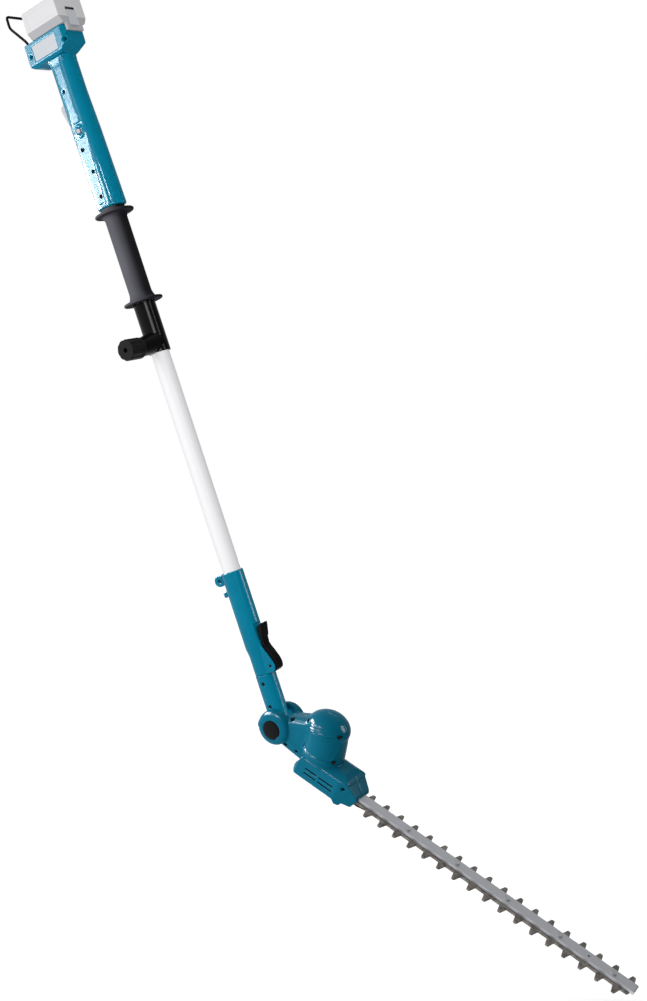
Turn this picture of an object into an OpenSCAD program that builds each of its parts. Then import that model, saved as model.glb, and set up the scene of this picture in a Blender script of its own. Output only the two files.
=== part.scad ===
// Cordless pole hedge trimmer with a telescopic pole and a tilting cutter head.
// Z runs up the pole towards the battery, X towards the motor side, Y across.
// The origin is the middle of the front grip, on the axis of the pole.

/* [Pole] */
// Outer diameter of the sliding inner pipe
inner_d = 27.6; // [26.6:0.1:27.6]
// Length of the front grip over both flanges
grip_l = 139.6; // [130:0.1:150]
// Diameter of the grip flanges
flange_d = 59; // [50:0.5:66]
// Distance from the grip centre down to the tilt pivot
pivot_drop = 723.9; // [723.9:0.1:723.9]
// Distance from the grip centre down to the open end of the clamp sleeve
clamp_drop = 146.4; // [146.4:0.1:146.4]
// Distance from the grip centre down to the top of the pole socket
socket_drop = 485.2; // [480:0.1:490]

/* [Rear handle] */
// Width of the handle along X
handle_w = 45.8; // [44:0.1:47]
// Depth of the handle along Y
handle_d = 35.6; // [35.6:0.1:38]
// Height of the handle's lower edge above the grip centre
handle_z = 76; // [75:1:84]
// Height of the battery foot's upper face
foot_top = 341; // [341:1:341]

/* [Cutter head] */
// Angle of the blade away from straight ahead, in degrees
tilt = 46.9; // [30:0.1:60]
// Radius of the pivot ears
ear_r = 26.4; // [25:0.2:27]
// Half width of the gearbox
head_hw = 28; // [27:0.5:30]

/* [Blades] */
// Distance between two teeth on one side
pitch = 25.5; // [24:0.1:26]
// Distance from the pivot to the first tooth on the near side
near_first = 182.2; // [182.2:0.1:186]
// Distance from the pivot to the first tooth on the far side
far_first = 167.7; // [167.7:0.1:172]
// Width of the cutter over the tooth tips
cutter_w = 52.6; // [48:0.1:56]
// Distance from the pivot to the end of the guide bar
bar_end = 613; // [606:1:616]

/* [Hidden] */
$fn = 64;

// colours
teal = "#0b87a3";
black = "#202024";
pale = "#e6e6ea";
steel = "#a8adb5";

// pole
inner_r = inner_d / 2;
run = 0.05;                              // radial play of a running fit
pipe_ri = 14.4;
pipe_ro = 15.5;
sleeve_r = 16.6;
grip_r = 16.8;
pipe_top = 180;
inner_top = -46;
pipe_in_socket = 560;
knob_z = -134.8;
knob_face = 73;
socket_r = 16.7;
yoke_top = -644.7;
lead_x = -10.4;
core_z = [-700, -640.5];
yoke_spots = [[1, -657.5], [0, -692.5]];
lever_pivot = [21, -634];
eye = [-26.2, -495];

// handle
stad_r = handle_d / 2;
stad_x = (handle_w - handle_d) / 2;
wall = 2.4;
trigger_pivot = [-15.5, 206];
button_z = 193.4;
handle_x = 0.6;                          // the handle's centre at its lower edge
grip_x = -1;                             // and at the trigger
grip_top = 190;
waist_x = -2;
waist_r = 17;
waist_dx = 4;
foot_x = [-49.6, 34.4];
foot_hy = 23.5;
foot_z = 306;
case_x = [-27, 39.4];
case_hy = 29.5;
case_top = 382;
long_screws = [[-5.5, 256], [30, 320], [-38, 322]];
short_screws = [[-6, 167], [0, 132], [0, 94]];
hook_x = -39;
hook_r = 2;
hook_y = 20.5;
switch_hy = 8.2;
terminal_hy = 15.5;
cell_r = 8.8;
cell_y = 17.8;

// head, in its own frame: x along the blade, z towards the motor
tilt_range = 114;                        // travel of the head, in degrees
stops = 7;                               // equal steps in it, with a notch at both ends
motor_s = 74;
crank_s = 99.1;
tongue_hy = 14.4;
tongue_top = 28.7;                       // the tongue is narrow up to here above the pivot
ear_in = 15;
ear_out = 29;
blade_t = 1.6;
gap = 0.2;
bar_top = -25;
bar_low = -29.4;
upper_m = bar_low - gap - blade_t;
lower_m = upper_m - gap - blade_t;
blade_hw = 12.4;
bar_hw = 9.4;
stroke = 6;
bolt_s = [for (i = [0:4]) 240.5 + 84.25 * i];
near_teeth = 17;
far_teeth = 18;
cam_r = 9;
// each shell screw of the head: place along the blade, height, and where its head sits
head_bolts = [[20, 28.5, -17], [45.5, 44.5, -16.5], [99, 49, -17.5], [105, 8, -19], [136, -16, -19],
    [46.5, -9, -19], [26, -11, -19]];
gear_z = [-15.8, -9];
crank_teeth = 40;
pinion_teeth = 10;
case_r = 22.6;
bar_start = 112;
root_bolts = [116, 122];
lead_m = 4;
ear_shift = [-0.6, 0, 1.8];

// ---------------------------------------------------------------- helpers
module at_head() { translate([0, 0, -pivot_drop]) rotate([0, 90 - tilt, 0]) children(); }

// a cylinder along Y from y0 to y1 at x, z
module ycyl(x, z, y0, y1, r) { translate([x, y1, z]) rotate([90, 0, 0]) cylinder(r = r, h = y1 - y0); }

// an outline in X and Z, extruded along Y
module xz(y0, y1) { translate([0, y1, 0]) rotate([90, 0, 0]) linear_extrude(y1 - y0) children(); }

// an outline in Y and Z, extruded along X
module yz(x0, x1) { translate([x0, 0, 0]) rotate([90, 0, 90]) linear_extrude(x1 - x0) children(); }

// keeps one side of the plane y = 0: side -1 or 1
module half(side) {
    intersection() {
        children();
        translate([-250, side > 0 ? 0 : -100, -800]) cube([900, 100, 1300]);
    }
}

module tube(ro, ri, z0, z1) {
    translate([0, 0, z0]) difference() {
        cylinder(r = ro, h = z1 - z0);
        translate([0, 0, -1]) cylinder(r = ri, h = z1 - z0 + 2);
    }
}

module box(x, y, z) { translate([x[0], y[0], z[0]]) cube([x[1] - x[0], y[1] - y[0], z[1] - z[0]]); }

// a slab with cut corners, centred on y = 0
module slab(x, hy, z, c) {
    translate([0, 0, z[0]]) linear_extrude(z[1] - z[0]) polygon([
        [x[0] + c, -hy], [x[1] - c, -hy], [x[1], c - hy], [x[1], hy - c],
        [x[1] - c, hy], [x[0] + c, hy], [x[0], hy - c], [x[0], c - hy]]);
}

module stadium(r, dx) {
    translate([-dx, 0]) circle(r);
    translate([dx, 0]) circle(r);
    translate([-dx, -r]) square([2 * dx, 2 * r]);
}

// rings of points joined by one polyhedron
module sweep(rings) {
    n = len(rings[0]);
    m = len(rings);
    points = [for (g = rings) each g];
    sides = [for (i = [0:m - 2], k = [0:n - 1]) let (j = (k + 1) % n)
        [i * n + k, (i + 1) * n + k, (i + 1) * n + j, i * n + j]];
    polyhedron(points, concat([[for (k = [0:n - 1]) k]], sides,
        [[for (k = [0:n - 1]) m * n - 1 - k]]));
}
// a lead along a route of points, as a round tube
function unit(v) = v / norm(v);
function lead_ring(p, d, w, n, ref) = let (u = unit(cross(d, ref)), v = cross(d, u))
    [for (k = [0:n - 1]) p + w * (cos(360 * k / n) * u + sin(360 * k / n) * v)];
module lead(route, w, n, ref) {
    last = len(route) - 1;
    sweep([for (i = [0:last]) lead_ring(route[i],
        unit(route[min(i + 1, last)] - route[max(i - 1, 0)]), w, n, ref)]);
}

// a coil about the Z axis, of wire radius w
module coil(r, w, z0, z1, turns, steps, n) {
    total = turns * steps;
    lead([for (i = [0:total]) let (a = 360 * i / steps)
        [r * cos(a), r * sin(a), z0 + (z1 - z0) * i / total]], w, n, [0, 0, 1]);
}

// a pan-head screw along Y; its head is at y and it points towards +Y
module shell_screw(x, z, y, l) {
    ycyl(x, z, y, y + 2, 2.8);
    ycyl(x, z, y + 2, y + l, 1.5);
}

// ---------------------------------------------------------------- rear handle
module handle_body() {
    hull() {
        for (e = [[0, 2.2], [0.7, 0.8], [2.2, 0]]) translate([handle_x, 0, handle_z + e[0]])
            linear_extrude(0.5) stadium(stad_r - e[1], stad_x);
        translate([grip_x, 0, grip_top - 0.5]) linear_extrude(0.5) stadium(stad_r, stad_x - 0.6);
    }
    hull() {
        translate([grip_x, 0, grip_top - 0.5]) linear_extrude(0.5) stadium(stad_r, stad_x - 0.6);
        translate([waist_x, 0, 251]) linear_extrude(0.5) stadium(waist_r, waist_dx);
    }
    translate([waist_x, 0, 251]) linear_extrude(52) stadium(waist_r, waist_dx);
    hull() {
        translate([waist_x, 0, 297]) linear_extrude(0.5) stadium(waist_r, waist_dx);
        slab([-25, 17], 18, [309, 309.5], 8);
    }
    // the foot, wider at the bottom of its back, with a rounded underside
    intersection() {
        slab(foot_x, foot_hy, [300, foot_top], 5);
        xz(-30, 30) polygon([[-46.3, foot_top + 1], [foot_x[0], 318], [-48, 310], [-42, 305], [-34, 303.5],
            [-24, 305.5], [18, 305.5], [foot_x[1], 319], [foot_x[1], foot_top + 1]]);
        yz(-60, 60) polygon([[-foot_hy, foot_top + 1], [-foot_hy, 309], [-18, 303], [11, 303],
            [foot_hy, 318], [foot_hy, foot_top + 1]]);
    }
}
module handle_cavity() {
    difference() {
        union() {
            translate([waist_x, 0, handle_z + 34]) linear_extrude(194) stadium(waist_r - wall, waist_dx);
            slab([-43, foot_x[1] - wall], foot_hy - wall, [320, foot_top - wall], 4);
            slab([-40, 17], 12, [309, 321], 4);
        }
        for (s = long_screws) ycyl(s[0], s[1], -30, 30, 4);
        // ribs that hold the switch
        for (z = [212, 236]) {
            box([14, 30], [-20, 20], [z, z + 2]);
            for (y = [[-20, -switch_hy], [switch_hy, 20]]) box([0, 8], y, [z, z + 2]);
        }
    }
}

module handle_shell(side) {
    half(side) difference() {
        union() {
            handle_body();
            ycyl(0, button_z, -stad_r - 1.2, stad_r + 1.2, 7.2);
        }
        handle_cavity();
        translate([0, 0, handle_z - 1]) cylinder(r = pipe_ro, h = pipe_top - handle_z + 2);
        // mouth for the trigger, holes for the button, the pin and the screws
        box([-40, -12], [-6.9, 6.9], [201, 248]);
        ycyl(0, button_z, -30, 30, 3.9);
        ycyl(0, button_z, -30, -stad_r - 0.2, 5.6);
        ycyl(trigger_pivot[0], trigger_pivot[1], -13.5, 13.5, 2);
        for (s = long_screws) {
            ycyl(s[0], s[1], -30, 12, 1.5);
            ycyl(s[0], s[1], -40, -stad_r + 4, 2.9);
        }
        for (s = short_screws) {
            ycyl(s[0], s[1], -30, -12, 1.5);
            ycyl(s[0], s[1], -40, -stad_r + 2, 2.9);
        }
        // window for the terminals, recess for the label, seats for the hook
        box([-22, 22], [-15, 15], [330, 350]);
        box([-32, 16], [-30, -foot_hy + 0.8], [312, 335]);
        for (y = [-hook_y, hook_y]) translate([hook_x, y, 326]) cylinder(r = hook_r + run, h = 30);
    }
}

module handle_shell_right() { color(teal) handle_shell(-1); }
module handle_shell_left() { color(teal) handle_shell(1); }

module handle_screws() {
    color("#303236") {
        for (s = long_screws) shell_screw(s[0], s[1], -stad_r + 2, 26);
        for (s = short_screws) shell_screw(s[0], s[1], -stad_r, 3.2 + abs(s[0]) / 6);
    }
}

module label_plate() {
    color("white") box([-31.8, 15.8], [-foot_hy + 0.3, -foot_hy + 0.8], [312.2, 334.8]);
}

module terminal_block() {
    color("#2b2c30") {
        box([-22, 22], [-15, 15], [330, 345]);
        box([-22, 22], [-19, 19], [345, 348]);
    }
    color("gold") for (y = [-9, 0, 9]) box([-14, 16], [y - 0.6, y + 0.6], [347.9, 353]);
}

module switch_unit() {
    color("#35363a") {
        box([-5, 14], [-switch_hy, switch_hy], [204, 246]);
        translate([-4.9, 0, 232]) rotate([0, -90, 0]) cylinder(r = 3, h = 4.8);
    }
}

module control_board() {
    color("#2d6b46") box([-20.5, 14.5], [-1, 1], [262, 302]);
    color("#202024") {
        box([-14, 2], [-4.5, -0.9], [268, 284]);
        ycyl(10, 290, 0.9, 9, 4);
    }
}

// the wire of the hook, from its seat to the middle of its crossbar
hook_side = [[hook_x, 326], [hook_x, 341.4], [hook_x - 0.9, 344.4], [-42.3, 348.6], [-60.3, 373.5],
    [-62.2, 377.5], [-62.6, 382], [-62.1, 390.5]];
hook_half = concat([for (p = hook_side) [p[0], -hook_y, p[1]]],
    [[-62, 1 - hook_y, 393.2], [-62, 3.6 - hook_y, 394.4]]);
module wire_hook() {
    last = len(hook_half) - 1;
    color(black) lead(concat(hook_half, [for (i = [last:-1:0]) let (p = hook_half[i]) [p[0], -p[1], p[2]]]),
        hook_r, 12, [1, 0, 1]);
}

module trigger() {
    p = trigger_pivot;
    color(pale) difference() {
        union() {
            xz(-6.4, 6.4) polygon([[-21.5, 202.5], [-25, 214], [-29, 228], [-30.6, 236],
                [-29.8, 240], [-26, 242.5], [-19, 242.5], [-16.5, 238], [-13, 226],
                [-11.5, 212], [-12.5, 202.5]]);
            ycyl(p[0], p[1], -6.4, 6.4, 4);
        }
        ycyl(p[0], p[1], -7, 7, 2 + run);
    }
}
module trigger_pin() { color("silver") ycyl(trigger_pivot[0], trigger_pivot[1], -13.5, 13.5, 2); }

module lock_button() {
    color(pale) ycyl(0, button_z, -stad_r - 2.4, -stad_r + 9, 3.4);
    color(black) ycyl(0, button_z, -stad_r + 3.6, -stad_r + 5.2, 5);
}

// ---------------------------------------------------------------- battery
case_profile = [[-case_hy, 351], [-case_hy, case_top - 3], [3 - case_hy, case_top],
    [case_hy - 3, case_top], [case_hy, case_top - 3], [case_hy, 351]];
tray_profile = [[-case_hy, 351], [case_hy, 351], [23, foot_top + 0.4], [-23, foot_top + 0.4]];
module battery_case() {
    color(pale) difference() {
        yz(case_x[0], case_x[1]) polygon(case_profile);
        box([case_x[0] + 2.5, case_x[1] - 2.5], [2.5 - case_hy, case_hy - 2.5], [350, case_top - 2.5]);
        box([case_x[1] - 3.4, case_x[1] + 1], [-9, 11], [344, 366]);
        box([case_x[0] - 1, case_x[0] + 3], [-terminal_hy, terminal_hy], [350, 354]);
    }
}
module battery_tray() {
    color("#c9cace") difference() {
        union() {
            yz(case_x[0], case_x[1]) polygon(tray_profile);
            box([foot_x[1] + 0.6, case_x[1]], [-17, 17], [331, 345]);
            box([case_x[0] + 2.5, case_x[1] - 3.5], [2.5 - case_hy, case_hy - 2.5], [350.9, 358.5]);
        }
        box([case_x[0] - 1, 24], [-terminal_hy, terminal_hy], [foot_top - 1, 354]);
        box([case_x[0] - 1, 24], [-19.5, 19.5], [344.5, 348.5]);
        box([case_x[1] - 3.4, case_x[1] + 1], [-9, 11], [334, 366]);
    }
}
module battery_cells() {
    color("#4a78b8") for (y = [-cell_y, 0, cell_y])
        translate([case_x[0] + 3, y, 368.2]) rotate([0, 90, 0]) cylinder(r = cell_r, h = 58);
}
module battery_button() {
    color("white") {
        box([case_x[1] - 3, case_x[1] + 0.4], [-8.6, 10.6], [341, 361.5]);
        box([case_x[1] - 3, case_x[1] + 0.4], [-8.6, 10.6], [338.5, 341.1]);
    }
}

// ---------------------------------------------------------------- upper pole
module outer_pipe() {
    color("#26262a") difference() {
        tube(pipe_ro, pipe_ri, -131, pipe_top);
        ycyl(0, knob_z, -30, 0, 4.3);
        for (s = short_screws) ycyl(s[0], s[1], -20, -8, 1.5);
    }
}

// the outline of a disc of radius r with a full round rim, at height z
module flange_outline(z, r) {
    rim = [for (a = [-90:30:90]) [r - 2 + 2 * cos(a), z + 2 * sin(a)]];
    polygon(concat([[pipe_ro, z - 2]], rim, [[pipe_ro, z + 2]]));
}
module front_grip() {
    f = grip_l / 2 - 2;
    color("#3a3a42") rotate_extrude() {
        flange_outline(f, flange_d / 2);
        flange_outline(-f, flange_d / 2);
        translate([pipe_ro, -f]) square([grip_r - pipe_ro, 2 * f]);
        polygon([[pipe_ro, 1 - f], [24, 1 - f], [20, 4 - f], [18.1, 8 - f],
            [grip_r - 0.1, 14 - f], [pipe_ro, 14 - f]]);
        polygon([[pipe_ro, f - 9], [grip_r - 0.1, f - 9], [18.8, f - 4], [22, f - 1], [pipe_ro, f - 1]]);
        polygon([[pipe_ro, f + 1], [20, f + 1], [18.4, f + 4], [17.8, handle_z], [pipe_ro, handle_z]]);
    }
}

module clamp_sleeve() {
    color(black) difference() {
        union() {
            translate([0, 0, -clamp_drop]) cylinder(r = sleeve_r, h = clamp_drop - grip_l / 2);
            hull() {
                ycyl(0, knob_z, -42.5, -41.5, 13.4);
                ycyl(0, 17 - clamp_drop, -1, 0, 17);
            }
        }
        translate([0, 0, -clamp_drop - 1]) cylinder(r = pipe_ro, h = clamp_drop);
        ycyl(0, knob_z, -50, 0, 4.3);
        translate([0, -30, knob_z]) rotate([90, 0, 0]) cylinder(r = 7.5, h = 6, $fn = 6);
    }
}
module clamp_nut() {
    color("silver") difference() {
        translate([0, -30.1, knob_z]) rotate([90, 0, 0]) cylinder(r = 7.4, h = 5.8, $fn = 6);
        ycyl(0, knob_z, -50, 0, 4 + run);
    }
}
module guide_bush() {
    color("#d8d8d0") difference() {
        translate([0, 0, -clamp_drop]) cylinder(r = pipe_ro, h = clamp_drop - 131);
        translate([0, 0, -clamp_drop - 1]) cylinder(r = inner_r + run, h = clamp_drop);
        ycyl(0, knob_z, -30, 0, 4.3);
    }
}
module clamp_knob() {
    flutes = 10;
    color("#2c2c31") difference() {
        union() {
            ycyl(0, knob_z, -knob_face + 1.5, -43.5, 15.6);
            translate([0, -knob_face + 1.5, knob_z]) rotate([90, 0, 0])
                cylinder(r1 = 15.6, r2 = 14.2, h = 1.5);
        }
        for (i = [0:flutes - 1])
            translate([0, 0, knob_z]) rotate([0, 360 * (i + 0.5) / flutes, 0])
                ycyl(18.2, 0, -knob_face - 1, -47.5, 4);
        ycyl(0, knob_z, -knob_face - 1, -63, 3.5);
        ycyl(0, knob_z, -62, -40, 4);
    }
}
module clamp_screw() { color("silver") ycyl(0, knob_z, -62, -inner_r - 0.4, 4); }

module coiled_lead() { color("#1c1c1e") coil(7, 1.9, -400, 172, 22, 10, 6); }

// ---------------------------------------------------------------- sliding pole
module inner_pipe() { color("#e9eaee") tube(inner_r, 12.6, -pipe_in_socket, inner_top); }
module slide_bush() {
    color("#d8d8d0") tube(pipe_ri - run, inner_r, inner_top - 26, inner_top);
    color("#d8d8d0") tube(pipe_ri - run, 12.6, inner_top, inner_top + 2);
}

cheek = [[0, -584], [8, -588], [14, -598], [27.5, -628], [28.5, -635], [27, -641.5], [22, -644.5],
    [0, -644.5]];
module pole_socket() {
    z1 = -socket_drop;
    color(teal) difference() {
        union() {
            translate([0, 0, -602]) cylinder(r = socket_r, h = z1 + 602);
            translate([0, 0, -614]) cylinder(r1 = 15, r2 = socket_r, h = 12.1);
            translate([0, 0, -644.5]) cylinder(r = 15, h = 31);
            xz(-10.4, 10.4) polygon(cheek);
            // hanging eye with its two ribs, and the lead clip below it
            ycyl(eye[0], eye[1], -4.5, 4.5, 8.6);
            xz(-1.3, 1.3) polygon([[-14, z1 - 1], [-25, z1 - 2], [-25, z1 - 17], [-14, z1 - 19]]);
            for (z = [z1 - 4.5, z1 - 17]) box([-26, -14], [-4.5, 4.5], [z, z + 3]);
            box([-26.5, -14], [-3.6, 3.6], [z1 - 36, z1 - 27.5]);
        }
        ycyl(eye[0], eye[1], -9, 9, 3.2);
        translate([0, 0, -pipe_in_socket]) cylinder(r = inner_r, h = 200);
        translate([0, 0, -601]) cylinder(r = 9, h = 60);
        translate([0, 0, -650]) cylinder(r = 8, h = 42);
        translate([0, 0, -610]) cylinder(r = 3.5 + run, h = 12);
        translate([lead_x, 0, -650]) cylinder(r = 2.1, h = 110);
        // slot for the lever and hole for its pin
        box([4, 40], [-7.3, 7.3], [-650, -606]);
        box([13.4, 40], [-7.3, 7.3], [-606.1, -592]);
        box([13.4, 40], [-8.9, 8.9], [-592.1, -568]);
        ycyl(lever_pivot[0], lever_pivot[1], -20, 20, 2);
    }
}
module lever_pin() { color("silver") ycyl(lever_pivot[0], lever_pivot[1], -10.4, 10.4, 2); }

module release_lever() {
    p = lever_pivot;
    color(black) difference() {
        union() {
            xz(-6.9, 6.9) polygon([[15.5, -606], [16.4, -589], [22, -589], [20.8, -601], [22, -605],
                [27.5, -616], [31.5, -626], [33, -634], [31, -640.5], [25.5, -643.5], [17, -642],
                [14.6, -638]]);
            xz(-8.4, 8.4) polygon([[17.4, -573.5], [26.8, -569.5], [27, -573], [24.4, -583],
                [22.2, -590.5], [16.2, -591], [17, -586]]);
            for (y = [-6.6, 4.2]) box([3.4, 17], [y, y + 2.4], [-638, -634.5]);
        }
        ycyl(p[0], p[1], -9, 9, 2 + run);
    }
}
module lock_pin() {
    color("silver") {
        box([-1.3, 1.3], [-2.4, 2.4], [-710.2, -698.2]);
        translate([0, 0, -698.3]) cylinder(r = 3.5, h = 89);
        translate([0, 0, -634]) cylinder(r = 6.6, h = 3);
    }
}
module lock_spring() { color("#8d9096") coil(5.2, 0.8, -630.1, -609, 6, 12, 6); }

lead_route = [[7, 0, -402], [6, 0, -420], [0, 0, -450], [-4, 0, -500], [-8, 0, -535], [-10.2, 0, -548],
    [-10.4, 0, -560], [-10.4, 0, -600], [-10.4, 0, -640], [-10.4, 0, -672]];
module pole_lead() { color("#1c1c1e") lead(lead_route, 1.9, 8, [0, 1, 0]); }

// ---------------------------------------------------------------- tilting yoke
module yoke_shell(side) {
    h = pivot_drop;
    half(side) difference() {
        union() {
            translate([0, 0, -h + tongue_top]) cylinder(r = 15.5, h = yoke_top + h - tongue_top);
            intersection() {
                union() {
                    ycyl(0, -h, -tongue_hy, tongue_hy, 20.5);
                    translate([0, 0, -h]) cylinder(r = 15.5, h = tongue_top);
                }
                box([-30, 30], [-tongue_hy, tongue_hy], [-h - 30, -h + tongue_top]);
            }
        }
        ycyl(0, -h, -3.6, 3.6, 18);
        ycyl(0, -h, -20, 20, 7.5);
        translate([0, 0, -h]) cylinder(r = 3.5 + run, h = 100);
        box([-4, 4], [-3, 3], [-h, -h + 22]);
        translate([0, 0, core_z[0]]) cylinder(r = 8, h = 80);
        translate([lead_x, 0, -h + 48]) cylinder(r = 2.1, h = 60);
        for (s = yoke_spots, k = [0, 1]) mirror([0, k, 0]) {
            ycyl(s[0], s[1], -20, -11.5, 2.9);
            ycyl(s[0], s[1], -12, -5, 1.5);
        }
    }
}
module yoke_shell_right() { color(teal) yoke_shell(-1); }
module yoke_shell_left() { color(teal) yoke_shell(1); }
module yoke_screws() {
    color("#303236") for (s = yoke_spots, k = [0, 1]) mirror([0, k, 0])
        shell_screw(s[0], s[1], -13.5, 8.3);
}
module yoke_core() {
    color("#b9bcc0") difference() {
        tube(8, 3.5 + run, core_z[0], core_z[1]);
        for (s = yoke_spots) ycyl(s[0], s[1], -10, 10, 1.5);
    }
}
module yoke_bushes() {
    color("#b5803a") for (y = [[-tongue_hy, -3.7], [3.7, tongue_hy]]) difference() {
        ycyl(0, -pivot_drop, y[0], y[1], 7.5);
        ycyl(0, -pivot_drop, -20, 20, 5 + run);
    }
}

// ---------------------------------------------------------------- cutter head
module gear_block(c) {
    hw = head_hw - c;
    intersection() {
        translate([0, 0, -60]) linear_extrude(80) polygon([
            [50.5 + c, -22 + c], [57 + c, -hw], [128, -hw], [160 - c, -17 + c],
            [160 - c, 19 - c], [130, hw], [57 + c, hw], [50.5 + c, 22 - c]]);
        xz(-hw, hw) polygon([[51.5 + c, -36.5], [50.5 + c, -32], [52 + c, -25], [60 + c, -11], [60 + c, -c],
            [128, -c], [137 - c, -3.5 - c / 2], [146 - c, -11 - c / 2], [158 - c, -21], [160 - c, -26],
            [154 - c, -39.5 + c], [141, -39.5 + c], [138, -45 + c], [131, -45 + c], [126, -39.5 + c],
            [54 + c, -39.5 + c]]);
        yz(40, 170) polygon([[-hw, -50], [-hw, -9.5 - c], [-hw + 2.5, -6.5 - c], [-15, -c], [15, -c],
            [hw - 2.5, -6.5 - c], [hw, -9.5 - c], [hw, -50]]);
    }
}
drum_top = [71.4, 39.4];
dome = [[0, 64.6], [8, 64.2], [14, 63], [19.5, 60.8], [24.2, 57.6], [28.4, 53.6], [31.5, 49],
    [33, 44.8], [33, 39.4], [0, 39.4]];
module head_solid(c) {
    gear_block(c);
    // motor drum and its domed cap
    hull() {
        translate([79.5, 0, -4]) cylinder(r = 32 - c, h = 2);
        translate([drum_top[0], 0, drum_top[1]]) cylinder(r = 32.2 - c, h = 2);
    }
    translate([drum_top[0], 0, 0]) rotate_extrude() polygon(dome);
}
neck_r = 13;
// a slice of the neck at s, hw wide, with its rounded back at height top
module neck_slice(s, hw, low, top) {
    c = hw - neck_r;
    yz(s, s + 1) polygon(concat([[hw, low + 4], [hw - 4, low], [4 - hw, low], [-hw, low + 4]],
        [for (a = [180:-30:90]) [neck_r * cos(a) - c, top + neck_r * (sin(a) - 1)]],
        [for (a = [90:-30:0]) [neck_r * cos(a) + c, top + neck_r * (sin(a) - 1)]]));
}
module ear(side) {
    rotate([-90 * side, 0, 0]) rotate_extrude() polygon([[0, ear_in], [ear_r, ear_in],
        [ear_r, ear_out - 8], [ear_r - 0.4, ear_out - 5.6], [ear_r - 1.9, ear_out - 3.2],
        [ear_r - 4.6, ear_out - 1.4], [ear_r - 8, ear_out - 0.4], [ear_r - 12, ear_out], [0, ear_out]]);
}
module head_neck() {
    hull() {
        neck_slice(6, 21, -17, 23);
        neck_slice(24, 20.5, -14.5, 32);
        neck_slice(44, 22, -17, 44);
        neck_slice(60, 23, -20, 50);
    }
    for (side = [-1, 1]) translate(ear_shift) ear(side);
}

module head_shell(side) {
    color(teal) half_head(side) difference() {
        union() {
            head_solid(0);
            head_neck();
        }
        // cavities for the motor and the gearbox
        difference() {
            union() {
                translate([motor_s, 0, -8]) cylinder(r = 26.6, h = 55);
                translate([motor_s, 0, 46.9]) cylinder(r1 = 26.6, r2 = 22, h = 7.8);
            }
            for (m = [9, 29]) translate([motor_s, 0, 0]) tube(30, 22, m, m + 2.5);
            ycyl(head_bolts[2][0], head_bolts[2][1], -40, 40, 3.2);
        }
        difference() {
            gear_block(2.6);
            ycyl(head_bolts[4][0], head_bolts[4][1], -40, 40, 3.4);
            difference() {
                box([92, 106], [-30, 30], [-19, -13]);
                translate([crank_s, 0, -21]) cylinder(r = case_r, h = 20);
            }
        }
        // space for the pole's tongue, the pivot and its caps
        ycyl(0, 0, -ear_in, ear_in, 22);
        ycyl(0, 0, -40, 40, 5);
        for (y = [[-25.8, -22.4], [22.4, 25.8]]) ycyl(0, 0, y[0], y[1], 8.1);
        for (y = [[-31, -25.6], [25.6, 31]]) ycyl(0, 0, y[0], y[1], 14.4);
        // mouth for the bar, the blades and the guard under them
        box([140, 170], [-9.7, 9.7], [-30, bar_top + 0.2]);
        box([150, 170], [-13.4, 30], [-35.4, -29]);
        box([139.5, 170], [-9, 9], [-38.4, -30]);
        // channel for the motor's leads
        translate([20, 0, lead_m]) rotate([0, 90, 0]) cylinder(r = 2.2, h = 30);
        for (b = head_bolts) {
            ycyl(b[0], b[1], -40, b[2] + 2, 2.9);
            ycyl(b[0], b[1], -20, 12, 1.5);
        }
        // cooling slots
        for (m = [-21.4, -29]) for (s = [[71.5, 93], [96.5, 122]])
            box(s, [-40, 40], [m - 1.2, m + 1.2]);
        louvres();
    }
}
// shallow grooves on both sides of the drum, fanning out towards its front
module louvres() {
    intersection() {
        translate([drum_top[0], 0, 0]) tube(40, 30.5, 30, 62);
        for (i = [0:4]) translate([55 + 2.5 * i, 0, 42.6 - 2.2 * i]) rotate([0, -21 + 2.8 * i, 0])
            for (y = [-36, 15]) box([0, 38 - 2 * i], [y, y + 21], [0, 1.4]);
    }
}
module half_head(side) {
    intersection() {
        children();
        translate([-60, side > 0 ? 0 : -60, -60]) cube([260, 60, 140]);
    }
}
module head_shell_right() { at_head() head_shell(-1); }
module head_shell_left() { at_head() head_shell(1); }

module head_screws() {
    at_head() color("#303236") for (b = head_bolts) shell_screw(b[0], b[1], b[2], 27);
}
module detent_disc() {
    at_head() color(steel) difference() {
        ycyl(0, 0, -3, 3, 16.8);
        ycyl(0, 0, -4, 4, 5);
        // a notch for the lock pin at each stop
        for (i = [0:stops]) rotate([0, tilt - 90 - tilt_range * i / stops, 0])
            box([-1.6, 1.6], [-4, 4], [13.2, 20]);
    }
}
module pivot_bolt() {
    at_head() color("silver") {
        ycyl(0, 0, -25.4, 25.4, 5);
        ycyl(0, 0, -25.4, -22.4, 8);
    }
}
module pivot_nut() {
    at_head() color("silver") difference() {
        translate([0, 25.4, 0]) rotate([90, 0, 0]) cylinder(r = 8, h = 3, $fn = 6);
        ycyl(0, 0, 20, 30, 5);
    }
}
module pivot_caps() {
    at_head() color(black) for (a = [90, -90]) rotate([a, 0, 0]) rotate_extrude()
        polygon([[0, 25.7], [14.2, 25.7], [14.2, 29.2], [13, 30], [8, 30.8], [0, 31.2]]);
}
module pivot_washers() {
    at_head() color("silver") for (y = [-ear_in, ear_in - 0.5]) difference() {
        ycyl(0, 0, y, y + 0.5, 13);
        ycyl(0, 0, -20, 20, 5);
    }
}

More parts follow.
